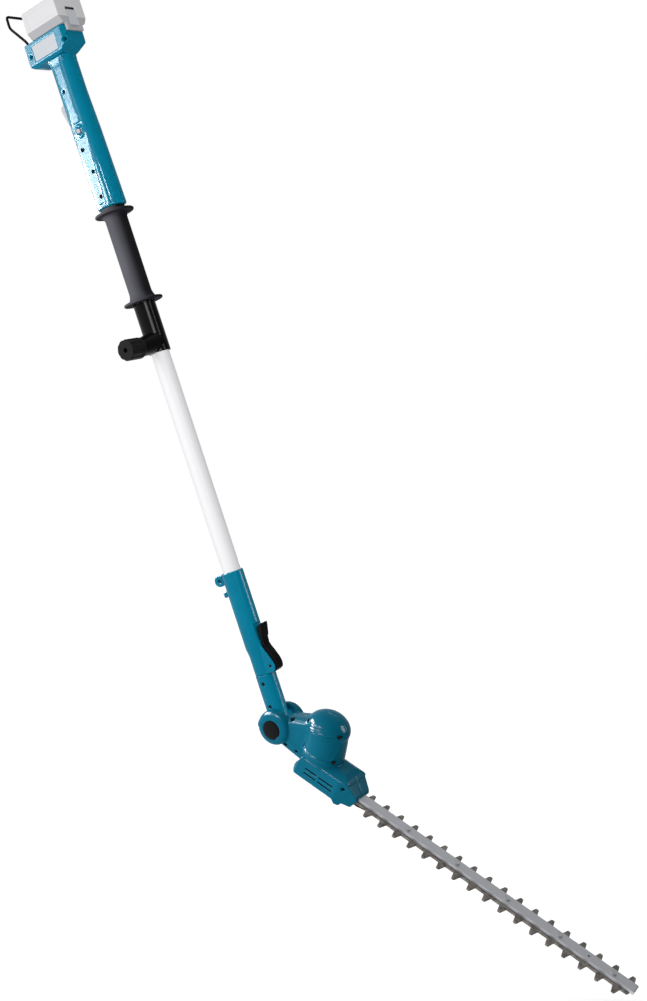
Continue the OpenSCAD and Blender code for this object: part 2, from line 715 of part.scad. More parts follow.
module motor_can() {
    at_head() translate([motor_s, 0, 0]) color("#6c7076") difference() {
        tube(22, 20.4, 6, 44);
        for (a = [0:60:300]) rotate([0, 0, a]) box([18, 24], [-4, 4], [33, 40]);
    }
}
module motor_stator() {
    at_head() translate([motor_s, 0, 0]) color("#9a5b2a") difference() {
        translate([0, 0, 11]) cylinder(r = 20.4, h = 26);
        translate([0, 0, 10]) cylinder(r = 10.2, h = 28);
        for (a = [0:60:300]) rotate([0, 0, a]) box([12, 18], [-2.4, 2.4], [10, 38]);
    }
}
module motor_bearings() {
    at_head() translate([motor_s, 0, 0]) color("silver") {
        tube(7, 2.5 + run, 2.5, 6.5);
        tube(7, 2.5 + run, 43.6, 47);
        difference() {
            tube(20.4, 7, 2.5, 6);
            for (a = [0:60:300]) rotate([0, 0, a]) translate([14, 0, 0]) cylinder(r = 3.6, h = 20);
        }
        difference() {
            tube(20.4, 7, 42, 44);
            for (a = [30:60:330]) rotate([0, 0, a]) translate([14, 0, 30]) cylinder(r = 3.6, h = 20);
        }
    }
}
module gear_teeth(n, root, tip) {
    for (i = [0:n - 1]) rotate(360 * i / n)
        polygon([[root - 0.4, -0.85], [tip, -0.36], [tip, 0.36], [root - 0.4, 0.85]]);
    circle(root);
}
module motor_rotor() {
    at_head() translate([motor_s, 0, 0]) color("silver") {
        translate([0, 0, -12]) cylinder(r = 2.5, h = 66);
        translate([0, 0, 12]) cylinder(r = 9.6, h = 24);
        translate([0, 0, gear_z[0] - 0.2]) linear_extrude(7.6) gear_teeth(pinion_teeth, 3.9, 5.5);
    }
}
module cooling_fan() {
    at_head() translate([motor_s, 0, 0]) color("#303236") {
        difference() {
            translate([0, 0, 47.6]) cylinder(r = 21.5, h = 1.4);
            translate([0, 0, 40]) cylinder(r = 2.5, h = 20);
        }
        difference() {
            translate([0, 0, 48.9]) cylinder(r = 6, h = 5);
            translate([0, 0, 40]) cylinder(r = 2.5, h = 20);
        }
        for (a = [0:30:330]) rotate([0, 0, a]) box([5.5, 21.3], [-0.6, 0.6], [48.9, 53.6]);
    }
}
module gear_case() {
    at_head() color("#b9bcc0") difference() {
        union() {
            translate([crank_s, 0, -20]) cylinder(r = case_r, h = 10.4);
            translate([motor_s, 0, -20]) cylinder(r = 12, h = 10.4);
            box([110, 126], [-9, 9], [bar_top, -14]);
        }
        translate([crank_s, 0, -16.5]) cylinder(r = 21.2, h = 20);
        translate([motor_s, 0, -16.5]) cylinder(r = 7.5, h = 20);
        translate([crank_s, 0, -30]) cylinder(r = 8, h = 20);
        for (s = root_bolts) translate([s, 0, -30]) cylinder(r = 2, h = 10);
    }
}
module crank_bearing() {
    at_head() translate([crank_s, 0, 0]) color("silver") tube(8, 4.5 + run, -20, -16.5);
}
module crank_gear() {
    at_head() translate([crank_s, 0, 0]) color("#c0a060") {
        // a gap of this gear faces a tooth of the pinion
        rotate([0, 0, 180 / crank_teeth]) translate([0, 0, gear_z[0]]) linear_extrude(gear_z[1] - gear_z[0])
            gear_teeth(crank_teeth, 18.7, 20.5);
        translate([0, 0, upper_m + 1.5]) cylinder(r = 4.5, h = gear_z[0] - upper_m - 1.4);
        translate([stroke, 0, upper_m]) cylinder(r = cam_r, h = blade_t);
        translate([-stroke, 0, lower_m - 0.1]) cylinder(r = cam_r, h = blade_t + gap + 0.2);
    }
}

// ---------------------------------------------------------------- cutter
module guide_bar() {
    at_head() color(steel) difference() {
        xz(-bar_hw, bar_hw) polygon([[bar_start, bar_low], [bar_start, bar_top], [bar_end - 1, bar_top],
            [bar_end, bar_top - 1], [bar_end, bar_low]]);
        for (s = bolt_s) translate([s, 0, -40]) cylinder(r = 2.5, h = 20);
        for (s = root_bolts) translate([s, 0, -40]) cylinder(r = 2, h = 20);
        translate([540, 0, -40]) cylinder(r = 1.8, h = 20);
        for (y = [-1, 1]) translate([0, y * (bar_hw + 0.6), bar_top + 0.6])
            rotate([45, 0, 0]) translate([100, -1.2, -1.2]) cube([530, 2.4, 2.4]);
    }
}
module bar_screws() {
    at_head() color("silver") {
        for (s = bolt_s) translate([s, 0, 0]) {
            translate([0, 0, bar_top]) cylinder(r = 4.6, h = 2);
            translate([0, 0, lower_m - 4]) cylinder(r = 2.5, h = bar_top - lower_m + 4.1);
        }
        for (s = root_bolts) translate([s, 0, bar_low]) cylinder(r = 2, h = 8);
    }
}
module bar_nuts() {
    at_head() color("silver") for (s = bolt_s) translate([s, 0, lower_m - 3.4]) difference() {
        union() {
            cylinder(r = 6.5, h = 1);
            translate([0, 0, -1.9]) cylinder(r = 4.6, h = 2, $fn = 6);
            translate([0, 0, 0.9]) cylinder(r = 5.6, h = 2.3);
        }
        translate([0, 0, -5]) cylinder(r = 2.5, h = 10);
    }
}

// one tooth at s on the side dir of the blade
module tooth(s, dir) {
    half = [[5.8, blade_hw - 0.5], [2.6, cutter_w / 2 - 0.8], [1.7, cutter_w / 2]];
    polygon([for (p = half) [s + dir * p[0], dir * p[1]],
        for (i = [2:-1:0]) [s - dir * half[i][0], dir * half[i][1]]]);
}
module blade_outline() {
    root = crank_s;
    difference() {
        union() {
            translate([root - 26, -19.5]) square([52, 39]);
            polygon([[root + 20, -19.5], [142, -blade_hw], [142, blade_hw], [root + 20, 19.5]]);
            polygon([[140, -blade_hw], [606, -blade_hw], [608, 6 - blade_hw],
                [608, blade_hw - 6], [606, blade_hw], [140, blade_hw]]);
            for (i = [0:near_teeth - 1]) tooth(near_first + pitch * i, -1);
            for (i = [0:far_teeth - 1]) tooth(far_first + pitch * i, 1);
        }
        translate([root - 22, -15.5]) square([44, 31]);
        for (s = bolt_s) {
            translate([s - stroke - 0.4, -2.9]) square([2 * stroke + 0.8, 5.8]);
            for (e = [-1, 1]) translate([s + e * (stroke + 0.4), 0]) circle(2.9);
        }
    }
}
module upper_blade() {
    at_head() color("#777069") translate([0, 0, upper_m]) linear_extrude(blade_t) blade_outline();
}
module lower_blade() {
    at_head() color("#777069") translate([0, 0, lower_m]) linear_extrude(blade_t) blade_outline();
}

module under_guard() {
    at_head() color(black) xz(-9, 9) polygon([[139.5, -36.9], [139.5, lower_m - 0.5],
        [181, lower_m - 0.5], [181, lower_m - 1.4], [160, -38.4], [150, -38.4]]);
}

module motor_leads() {
    at_head() color("#1c1c1e") translate([23, 0, lead_m]) rotate([0, 90, 0]) cylinder(r = 1.6, h = 30.6);
}

// ---------------------------------------------------------------- assembly
handle_shell_right();
handle_shell_left();
handle_screws();
label_plate();
terminal_block();
switch_unit();
control_board();
wire_hook();
outer_pipe();
front_grip();
clamp_sleeve();
clamp_nut();
guide_bush();
coiled_lead();
battery_case();
battery_tray();
battery_cells();
battery_button();
trigger();
trigger_pin();
lock_button();
clamp_knob();
clamp_screw();
inner_pipe();
slide_bush();
pole_socket();
pole_lead();
lever_pin();
release_lever();
lock_pin();
lock_spring();
yoke_shell_right();
yoke_shell_left();
yoke_core();
yoke_screws();
yoke_bushes();
head_shell_right();
head_shell_left();
head_screws();
detent_disc();
pivot_bolt();
pivot_nut();
pivot_caps();
pivot_washers();
motor_can();
motor_stator();
motor_bearings();
motor_rotor();
cooling_fan();
gear_case();
crank_bearing();
crank_gear();
guide_bar();
bar_screws();
bar_nuts();
upper_blade();
lower_blade();
under_guard();
motor_leads();
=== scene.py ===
import math

import bmesh
import bpy
import numpy as np
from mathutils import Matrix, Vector


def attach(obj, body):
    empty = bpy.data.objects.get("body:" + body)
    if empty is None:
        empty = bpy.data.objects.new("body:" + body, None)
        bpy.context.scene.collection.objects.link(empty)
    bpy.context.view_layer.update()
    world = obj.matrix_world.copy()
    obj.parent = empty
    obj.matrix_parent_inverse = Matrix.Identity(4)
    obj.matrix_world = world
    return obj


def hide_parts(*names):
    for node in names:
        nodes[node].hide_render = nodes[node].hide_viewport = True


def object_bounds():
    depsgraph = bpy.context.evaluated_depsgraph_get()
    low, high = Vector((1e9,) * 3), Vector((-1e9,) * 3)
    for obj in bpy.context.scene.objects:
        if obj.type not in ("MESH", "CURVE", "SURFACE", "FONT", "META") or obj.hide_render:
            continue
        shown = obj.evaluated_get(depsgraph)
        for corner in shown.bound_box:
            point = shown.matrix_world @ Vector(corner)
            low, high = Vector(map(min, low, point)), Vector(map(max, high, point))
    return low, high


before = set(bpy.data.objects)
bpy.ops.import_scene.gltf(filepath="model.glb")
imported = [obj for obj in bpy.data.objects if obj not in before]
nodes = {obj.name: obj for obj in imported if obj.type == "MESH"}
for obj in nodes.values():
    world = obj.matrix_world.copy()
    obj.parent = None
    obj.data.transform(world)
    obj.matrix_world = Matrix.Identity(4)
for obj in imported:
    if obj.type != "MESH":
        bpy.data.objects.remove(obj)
cad_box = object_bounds()

MM = 0.001
PIVOT = Vector((0, 0, -723.9)) * MM                  # the head's tilt axis
TILT = math.radians(46.9)                            # of the head, at rest
BLADE = Vector((math.sin(TILT), 0, -math.cos(TILT)))  # along the cutter
MOTOR = Vector((math.cos(TILT), 0, math.sin(TILT)))   # towards the motor's cap

# ------------------------------------------------------------------ camera
camera_data = bpy.data.cameras.new("camera")
camera_data.sensor_fit = "VERTICAL"
camera_data.sensor_height = 36
camera_data.lens = 50.688
camera = bpy.data.objects.new("camera", camera_data)
camera.location = (1.320985, -1.614694, -0.373788)
camera.rotation_euler = [math.radians(a) for a in (88.4297, 18.0567, 34.3755)]
bpy.context.collection.objects.link(camera)
bpy.context.scene.camera = camera
bpy.context.scene.view_settings.view_transform = "Standard"


# --------------------------------------------------------------- materials
class Shader:
    """A Principled material that is built up node by node, in the object's own metres."""

    def __init__(self, name, rough, metal=0.0, coat=0.0, coat_rough=0.08, specular=0.5):
        self.mat = bpy.data.materials.new(name)
        self.mat.use_nodes = True
        self.tree = self.mat.node_tree
        self.main = self.tree.nodes["Principled BSDF"]
        self.main.inputs["Roughness"].default_value = rough
        self.main.inputs["Metallic"].default_value = metal
        self.main.inputs["Coat Weight"].default_value = coat
        self.main.inputs["Coat Roughness"].default_value = coat_rough
        self.main.inputs["Specular IOR Level"].default_value = specular
        self.place = self.add("ShaderNodeTexCoord").outputs["Object"]

    def add(self, kind, **values):
        node = self.tree.nodes.new(kind)
        for key, value in values.items():
            if key in node.inputs:
                node.inputs[key].default_value = value
            else:
                setattr(node, key, value)
        return node

    def link(self, a, b):
        self.tree.links.new(a, b)

    def stretched(self, scale):
        """The object's coordinates, scaled unevenly, for brushed and drawn marks."""
        mapping = self.add("ShaderNodeMapping")
        mapping.inputs["Scale"].default_value = scale
        self.link(self.place, mapping.inputs["Vector"])
        return mapping.outputs["Vector"]

    def noise(self, scale, detail=3.0, place=None):
        node = self.add("ShaderNodeTexNoise", Scale=scale, Detail=detail)
        self.link(place or self.place, node.inputs["Vector"])
        return node.outputs["Fac"]

    def colour(self, fac, stops):
        ramp = self.add("ShaderNodeValToRGB")
        ramp.color_ramp.elements[0].position = stops[0][0]
        ramp.color_ramp.elements[0].color = (*stops[0][1], 1)
        ramp.color_ramp.elements[1].position = stops[-1][0]
        ramp.color_ramp.elements[1].color = (*stops[-1][1], 1)
        for position, value in stops[1:-1]:
            ramp.color_ramp.elements.new(position).color = (*value, 1)
        self.link(fac, ramp.inputs["Fac"])
        self.link(ramp.outputs["Color"], self.main.inputs["Base Color"])

    def remap(self, fac, **ends):
        """fac run from one range to another, each end by the socket's name with an underscore."""
        node = self.add("ShaderNodeMapRange", **{k.replace("_", " "): v for k, v in ends.items()})
        self.link(fac, node.inputs["Value"])
        return node.outputs["Result"]

    def rough(self, fac, low, high):
        self.link(self.remap(fac, To_Min=low, To_Max=high), self.main.inputs["Roughness"])

    def bump(self, *layers):
        """Layers of (fac, strength, depth in metres), the finest last."""
        normal = None
        for fac, strength, depth in layers:
            node = self.add("ShaderNodeBump", Strength=strength, Distance=depth)
            self.link(fac, node.inputs["Height"])
            if normal:
                self.link(normal, node.inputs["Normal"])
            normal = node.outputs["Normal"]
        self.link(normal, self.main.inputs["Normal"])


def shade(rgb, k):
    return tuple(c * k for c in rgb)


def moulded_plastic(name, rgb, rough, coat=0.0, grain=0.15, vary=0.07, specular=0.5, edge_wear_and_hollow_shade=0.0):
    """Injection-moulded plastic: faint colour drift, hollows darkened with painted shade and edges
    lightened by rubbed wear, fine spark-erosion grain and a smudged gloss."""
    s = Shader(name, rough, coat=coat, specular=specular)
    drift = s.noise(16, 4)
    stops = [(0.3, shade(rgb, 1 - vary)), (0.7, shade(rgb, 1 + vary))]
    if edge_wear_and_hollow_shade:
        # painted shade: pointiness darkens hollows and creases; the same ramp lightens convex edges
        # as rubbed wear
        pointed = s.add("ShaderNodeNewGeometry").outputs["Pointiness"]
        edge = s.remap(pointed, From_Min=0.44, From_Max=0.56, To_Min=-edge_wear_and_hollow_shade, To_Max=edge_wear_and_hollow_shade)
        total = s.add("ShaderNodeMath", operation="ADD", use_clamp=True)
        s.link(drift, total.inputs[0])
        s.link(edge, total.inputs[1])
        drift = total.outputs["Value"]
        # first stop is painted shade in the hollows (0.62 of the colour); last stop is edges
        # lighter from wear
        stops = [(0.0, shade(rgb, 0.62)), *stops, (1.0, tuple(c * 1.15 + 0.02 for c in rgb))]
    s.colour(drift, stops)
    s.rough(s.noise(45, 5), rough * 0.85, rough * 1.2)
    s.bump((s.noise(110, 2), 0.05, 0.00012), (s.noise(1500, 2), grain, 0.00002))
    return s.mat


def metal(name, rgb, rough, stretch=(1, 1, 1), vary=0.08, grain=0.12, bare=1.0):
    """Bare metal with marks drawn out along one direction."""
    s = Shader(name, rough, metal=bare, specular=0.5 * bare)
    marks = s.noise(900, 4, s.stretched(stretch))
    s.colour(marks, [(0.25, shade(rgb, 1 - vary)), (0.75, shade(rgb, 1 + vary))])
    s.rough(marks, rough * 0.75, rough * 1.35)
    s.bump((marks, grain, 0.00005))
    return s.mat


TEAL = (0.0, 0.200, 0.325)
teal = moulded_plastic("teal_moulding", TEAL, 0.2, grain=0.02, vary=0.04, edge_wear_and_hollow_shade=0.3, specular=0.08)
black = moulded_plastic("black_moulding", (0.010, 0.010, 0.012), 0.38,
                        grain=0.15, edge_wear_and_hollow_shade=0.25, specular=0.1)
knob_black = moulded_plastic("knob_moulding", (0.024, 0.024, 0.027), 0.4,
                             grain=0.15, edge_wear_and_hollow_shade=0.25, specular=0.1)
gloss_black = moulded_plastic("gloss_black_moulding", (0.006, 0.006, 0.008), 0.2,
                              grain=0.03, edge_wear_and_hollow_shade=0.2, specular=0.12)
grip = moulded_plastic("soft_grip", (0.033, 0.033, 0.039), 0.62,
                       grain=0.3, vary=0.1, specular=0.03)
pale = moulded_plastic("pale_moulding", (0.74, 0.74, 0.76), 0.42,
                       grain=0.08, vary=0.02, edge_wear_and_hollow_shade=0.15, specular=0.12)
pale_dark = moulded_plastic("pale_grey_moulding", (0.50, 0.50, 0.52), 0.5,
                            grain=0.1, vary=0.03, specular=0.12)
white = moulded_plastic("white_plate", (0.62, 0.65, 0.69), 0.35,
                        grain=0.03, vary=0.012, specular=0.08)
nylon = moulded_plastic("nylon", (0.72, 0.70, 0.62), 0.5)
rubber = moulded_plastic("lead_sheath", (0.014, 0.014, 0.014), 0.6, grain=0.3)
wrap = moulded_plastic("cell_wrap", (0.34, 0.36, 0.40), 0.3)
alu_pipe = metal("anodised_pipe", (0.90, 0.90, 0.92), 0.42, (1, 1, 0.02),
                 vary=0.012, grain=0.03, bare=0.3)
cast = metal("cast_alloy", (0.55, 0.56, 0.57), 0.5, vary=0.1, grain=0.4)
zinc = metal("zinc_plate", (0.70, 0.71, 0.72), 0.28, vary=0.06)
dark_steel = metal("black_oxide", (0.012, 0.012, 0.014), 0.4, vary=0.15, bare=0.15)
bronze = metal("sintered_bronze", (0.60, 0.40, 0.17), 0.45, vary=0.12, grain=0.3)


def brushed_bar():
    """Ground and brushed bar: marks along the cutter, with faint stains."""
    s = Shader("brushed_bar", 0.5, metal=1.0)
    turn = s.add("ShaderNodeMapping")
    turn.inputs["Rotation"].default_value = (0, math.radians(90) - TILT, 0)
    s.link(s.place, turn.inputs["Vector"])
    squeeze = s.add("ShaderNodeMapping")
    squeeze.inputs["Scale"].default_value = (0.06, 1, 1)
    s.link(turn.outputs["Vector"], squeeze.inputs["Vector"])
    marks = s.noise(1400, 3, squeeze.outputs["Vector"])
    s.colour(marks, [(0.2, (0.68, 0.70, 0.74)), (0.8, (0.85, 0.87, 0.91))])
    s.rough(marks, 0.44, 0.62)
    s.bump((marks, 0.1, 0.00004))
    return s.mat


def blade_steel():
    """Dark blade steel: brown-grey heat colour with bare ground edges."""
    s = Shader("blade_steel", 0.42, metal=0.75)
    s.colour(s.noise(160, 5), [(0.3, (0.140, 0.120, 0.105)), (0.7, (0.420, 0.390, 0.360))])
    s.rough(s.noise(240, 4), 0.32, 0.55)
    s.bump((s.noise(900, 3), 0.25, 0.00006))
    return s.mat


def winding():
    """Varnished copper wire laid side by side."""
    s = Shader("copper_winding", 0.3, metal=0.8, coat=0.5)
    bands = s.add("ShaderNodeTexWave", Scale=420, Distortion=1.5, Detail=2.0)
    s.link(s.place, bands.inputs["Vector"])
    s.colour(bands.outputs["Fac"], [(0.1, (0.16, 0.05, 0.015)), (0.9, (0.62, 0.25, 0.09))])
    s.bump((bands.outputs["Fac"], 0.5, 0.0003))
    return s.mat


def circuit_board():
    """Green board with a fine pattern of tracks."""
    s = Shader("circuit_board", 0.35, coat=0.5)
    s.colour(s.noise(700, 1), [(0.48, (0.01, 0.10, 0.04)), (0.52, (0.02, 0.20, 0.07))])
    s.bump((s.noise(700, 1), 0.3, 0.0001))
    return s.mat


bar_steel = brushed_bar()
blade = blade_steel()

FINISH = {
    "handle_screws": dark_steel, "label_plate": white, "terminal_block": black,
    "switch_unit": black, "control_board": circuit_board(), "wire_hook": gloss_black,
    "outer_pipe": alu_pipe, "front_grip": grip, "clamp_nut": zinc, "guide_bush": nylon,
    "coiled_lead": rubber, "battery_cells": wrap, "battery_button": white, "trigger_pin": zinc,
    "lock_button": pale, "clamp_screw": zinc, "inner_pipe": alu_pipe, "slide_bush": nylon,
    "pole_lead": rubber, "lever_pin": dark_steel, "lock_pin": zinc, "lock_spring": zinc,
    "yoke_core": cast, "yoke_screws": dark_steel, "yoke_bushes": bronze, "head_screws": dark_steel,
    "detent_disc": zinc, "pivot_bolt": zinc, "pivot_nut": zinc, "pivot_caps": black,
    "pivot_washers": zinc, "motor_can": dark_steel, "motor_stator": winding(),
    "motor_bearings": cast, "motor_rotor": zinc, "cooling_fan": black, "gear_case": cast,
    "crank_bearing": bronze, "crank_gear": zinc, "guide_bar": bar_steel, "bar_screws": zinc,
    "bar_nuts": zinc, "upper_blade": blade, "lower_blade": blade, "under_guard": black,
    "motor_leads": rubber,
}
BEVEL = {
    "front_grip": 0.8, "wire_hook": 0, "coiled_lead": 0, "lock_spring": 0, "pole_lead": 0,
    "guide_bar": 0, "upper_blade": 0.35, "lower_blade": 0.35, "pivot_caps": 0.8,
    "bar_screws": 0.4, "bar_nuts": 0.4, "battery_button": 0.8, "label_plate": 0.15,
}


DEFAULT_BEVEL = 0.25                                 # millimetres
BEVEL_ANGLE = math.radians(32)                       # edges sharper than this are rounded
CREASE_ANGLE = math.radians(38)                      # and sharper than this stay creased
WELD = 0.02 * MM                                     # gap between vertices that are merged


def smooth_faces(mesh):
    mesh.polygons.foreach_set("use_smooth", [True] * len(mesh.polygons))


def finish_cad(name, material):
    """Rounds the edges of a CAD node that stays in view, and gives it its material."""
    o = nodes[name]
    o.data.materials.clear()
    o.data.materials.append(material)
    smooth_faces(o.data)
    weld = o.modifiers.new("weld", "WELD")
    weld.merge_threshold = WELD
    width = BEVEL.get(name, DEFAULT_BEVEL)
    if width:
        bevel = o.modifiers.new("edges", "BEVEL")
        bevel.width = width * MM
        bevel.segments = 2
        bevel.angle_limit = BEVEL_ANGLE
    split = o.modifiers.new("creases", "EDGE_SPLIT")
    split.split_angle = CREASE_ANGLE
    flats = o.modifiers.new("flats", "WEIGHTED_NORMAL")
    flats.weight = 100


for node_name, node_material in FINISH.items():
    finish_cad(node_name, node_material)


# ------------------------------------------------------- moulded shells
def smooth_step(x, low, high):
    """0 below low, 1 above high, and smooth between."""
    t = np.clip((x - low) / (high - low), 0, 1)
    return t * t * (3 - 2 * t)


def band(x, low, high, soft):
    """1 between low and high, falling to 0 over soft on either side."""
    return smooth_step(x, low - soft, low) * (1 - smooth_step(x, high, high + soft))


def of_vertices(mesh, what):
    """The vertices' places ("co") or normals ("normal"), a row each."""
    flat = np.empty(len(mesh.vertices) * 3)
    mesh.vertices.foreach_get(what, flat)
    return flat.reshape(-1, 3)


def evaluated(o):
    """The mesh of o with its modifiers applied."""
    depsgraph = bpy.context.evaluated_depsgraph_get()
    return bpy.data.meshes.new_from_object(o.evaluated_get(depsgraph))


WEIGHT_STEPS = 10                                    # levels in a smoothing weight
RELIEF_PASSES = 2                                    # smoothing once the relief is in


def soften(piece, passes, crisp):
    """Smooths the mesh, except where crisp(mm) is near 1."""
    soft = piece.modifiers.new("soften", "SMOOTH")
    soft.factor = 0.5
    soft.iterations = passes
    if crisp:
        weights = 1 - crisp(of_vertices(piece.data, "co") / MM)
        group = piece.vertex_groups.new(name="soft")
        for level in range(WEIGHT_STEPS + 1):
            chosen = np.nonzero(np.round(weights * WEIGHT_STEPS).astype(int) == level)[0]
            group.add(chosen.tolist(), level / WEIGHT_STEPS, "REPLACE")
        soft.vertex_group = "soft"
    piece.data = evaluated(piece)
    piece.modifiers.clear()
    piece.vertex_groups.clear()


def moulding(node, body, material, voxel, passes, relief=None, crisp=None):
    """Remakes a CAD shell as a moulding: remeshed in small cells, its edges softened by smoothing
    passes, then moved by relief(mm, normal). crisp(mm) is 0 to 1 where edges stay sharp."""
    mesh = nodes[node].data.copy()
    work = bmesh.new()
    work.from_mesh(mesh)
    bmesh.ops.remove_doubles(work, verts=work.verts, dist=0.00001)
    work.to_mesh(mesh)
    work.free()
    piece = bpy.data.objects.new(node + "_moulding", mesh)
    bpy.context.collection.objects.link(piece)
    remesh = piece.modifiers.new("cells", "REMESH")
    remesh.mode = "VOXEL"
    remesh.voxel_size = voxel * MM
    piece.data = evaluated(piece)
    piece.modifiers.clear()
    soften(piece, passes, crisp)
    if relief:
        at, out = of_vertices(piece.data, "co"), of_vertices(piece.data, "normal")
        at += relief(at / MM, out) * MM
        piece.data.vertices.foreach_set("co", at.ravel())
        piece.data.update()
        soften(piece, RELIEF_PASSES, crisp)
    smooth_faces(piece.data)
    piece.data.materials.clear()
    piece.data.materials.append(material)
    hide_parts(node)
    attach(piece, body)
    return piece


def in_head(mm):
    """Places along the cutter, towards the motor's cap and across, in millimetres."""
    rel = mm - np.array(PIVOT) / MM
    return rel @ np.array(BLADE), rel @ np.array(MOTOR), rel[:, 1]


def groove(x, centre, half):
    """1 at centre, falling to 0 at half either side."""
    return np.clip(1 - np.abs(x - centre) / half, 0, 1)


def handle_relief(mm, out):
    """The flat side panel, the two narrow flats beside it, and the oblong above the button."""
    x, y, z = mm.T
    skin = (np.hypot(np.maximum(np.abs(x + 1) - 4, 0), y) > 15.6) & (z < 300)
    edge = np.interp(z, [84, 123, 149, 181, 206], [3.4, 4.6, 6.4, 9.6, 10])
    left = np.interp(z, [84, 206], [-10.6, -11.8])
    button = np.hypot(x, z - 193.4)
    clear = smooth_step(button, 9, 10.5)
    panel = smooth_step(x, left, left + 1) * (1 - smooth_step(x, edge - 1, edge))
    panel *= band(z, 86, 204, 4)
    panel *= clear
    low = band(z, 86, 138, 12)
    flat_a = smooth_step(x, edge + 0.6, edge + 1.4) * (1 - smooth_step(x, 10, 10.8)) * low
    flat_b = smooth_step(x, 11.8, 12.6) * (1 - smooth_step(x, 15.6, 16.4)) * low
    across = np.abs(y)
    level = np.select([x > 11.3, x > edge], [across - 14.9, across - 17.1], across - 16.7)
    ring = groove(button, 8.6, 1.3) * (y < 0)
    oblong = band(x, -8, 3.5, 1.5) * band(z, 222, 290, 5)
    sunk = np.clip(level, -0.3, 1.9) * (panel + flat_a + flat_b)
    cut = groove(x, left, 0.9) * band(z, 88, 204, 4) * clear
    shift = out * np.where(skin, 0.6 * ring + 0.35 * oblong - 0.5 * cut, 0.0)[:, None]
    shift[:, 1] -= np.where(skin, np.sign(y) * sunk, 0.0)
    return shift


def louvres(s, m):
    """Four grooves that fan out towards the front of the drum: 1 along each one's middle."""
    total = 0
    for i in range(4):
        turn = math.radians(21 - 3.2 * i)
        ds, dm = s - (55 + 3.2 * i), m - (43.6 - 3.1 * i)
        along = ds * math.cos(turn) + dm * math.sin(turn)
        across = dm * math.cos(turn) - ds * math.sin(turn)
        total = total + groove(across, 0.7, 1.2) * band(along, 1, 37 - 2.5 * i, 1.5)
    return total


def drum_skin(s, m, y):
    """How far the drum's side is from its true round, and the direction away from its middle."""
    middle = 71.4 + 8.1 * np.clip((41.4 - m) / 43.4, 0, 1)
    reach = np.maximum(np.hypot(s - middle, y), 1)
    dome = np.sqrt(1 - np.clip((m - 42) / 22.6, 0, 0.99) ** 2)
    true = (32.2 + 0.8 * smooth_step(m, 38.5, 41.5)) * dome
    away = np.outer((s - middle) / reach, BLADE) + np.outer(y / reach, (0, 1, 0))
    return true - reach, away


def head_relief(mm, out):
    """The sunk field on the motor drum with its lip, the louvres, the cap's seam and the skirt."""
    s, m, y = in_head(mm)
    across = np.hypot(s - 76, y)
    skin = (across > 28.5) & (m > -8) & (m < 50)
    side = (np.abs(y) > 12).astype(float)
    low = 4.5 + 0.06 * (s - 75)
    inside = smooth_step(s, 53.5, 55) * (1 - smooth_step(s, 101, 103)) * band(m, low + 2.5, 53, 1.2)
    lip = groove(m, low, 2.4) * smooth_step(s, 50, 55) * (1 - smooth_step(s, 98, 106))
    post = groove(s, 52.8, 1.8) * band(m, 5, 48, 3)
    skirt = 1 - smooth_step(m, -5, 2)
    seam = groove(m, 52.2 + 0.1 * (s - 75), 0.9) * (across > 26) * (m < 60)
    raised = side * (1.3 * lip + 0.6 * post - 0.8 * inside) + 1.2 * skirt
    gap, away = drum_skin(s, m, y)
    centre = np.hypot(s - 71.4, y)
    filled = gap * band(s, 56, 94, 2) * band(m, 32, 50, 1.5) * side * (centre > 29.6)
    cut = 0.9 * louvres(s, m) * side * (centre > 27)
    outwards = np.where(skin, raised, 0.0) - 0.35 * seam
    return out * outwards[:, None] + away * (filled - cut)[:, None]


def battery_relief(mm, out):
    """Sunk panels in the battery's sides and a step round its lid."""
    x, y, z = mm.T
    side = (np.abs(out[:, 1]) > 0.8) * band(x, -20, 32, 1.2) * band(z, 357, 374, 1.2)
    step = groove(z, 379.5, 0.9) * (np.abs(out[:, 2]) < 0.5)
    return -out * (0.8 * side + 0.35 * step)[:, None]


def near_slots(mm):
    """Where the head's shells stay crisp: round the blade's slots and inside the drum."""
    s, m, y = in_head(mm)
    slots = band(s, 70, 123.5, 2) * band(m, -32, -18.5, 1)
    inside = (np.hypot(s - 74, y) < 27.5) & (m > -3) & (m < 57)
    return np.clip(slots + inside, 0, 1) * 0.85


teal_shells = [
    moulding("handle_shell_right", "handle", teal, 0.65, 12, handle_relief),
    moulding("handle_shell_left", "handle", teal, 0.65, 12, handle_relief),
    moulding("pole_socket", "lower_pole", teal, 0.7, 8),
    moulding("yoke_shell_right", "lower_pole", teal, 0.7, 5),
    moulding("yoke_shell_left", "lower_pole", teal, 0.7, 5),
    moulding("head_shell_right", "head", teal, 0.6, 14, head_relief, near_slots),
    moulding("head_shell_left", "head", teal, 0.6, 14, head_relief, near_slots),
]
upright_shells = teal_shells[:5]
pipes = [nodes["outer_pipe"], nodes["inner_pipe"]]
sleeve = moulding("clamp_sleeve", "handle", gloss_black, 0.55, 8)
moulding("clamp_knob", "clamp", knob_black, 0.5, 6)
moulding("release_lever", "release_lever", gloss_black, 0.5, 9)
moulding("trigger", "trigger", pale, 0.5, 8)
battery = [
    moulding("battery_case", "battery", pale, 0.6, 8, battery_relief),
    moulding("battery_tray", "battery", pale_dark, 0.7, 6),
    nodes["battery_button"],
]

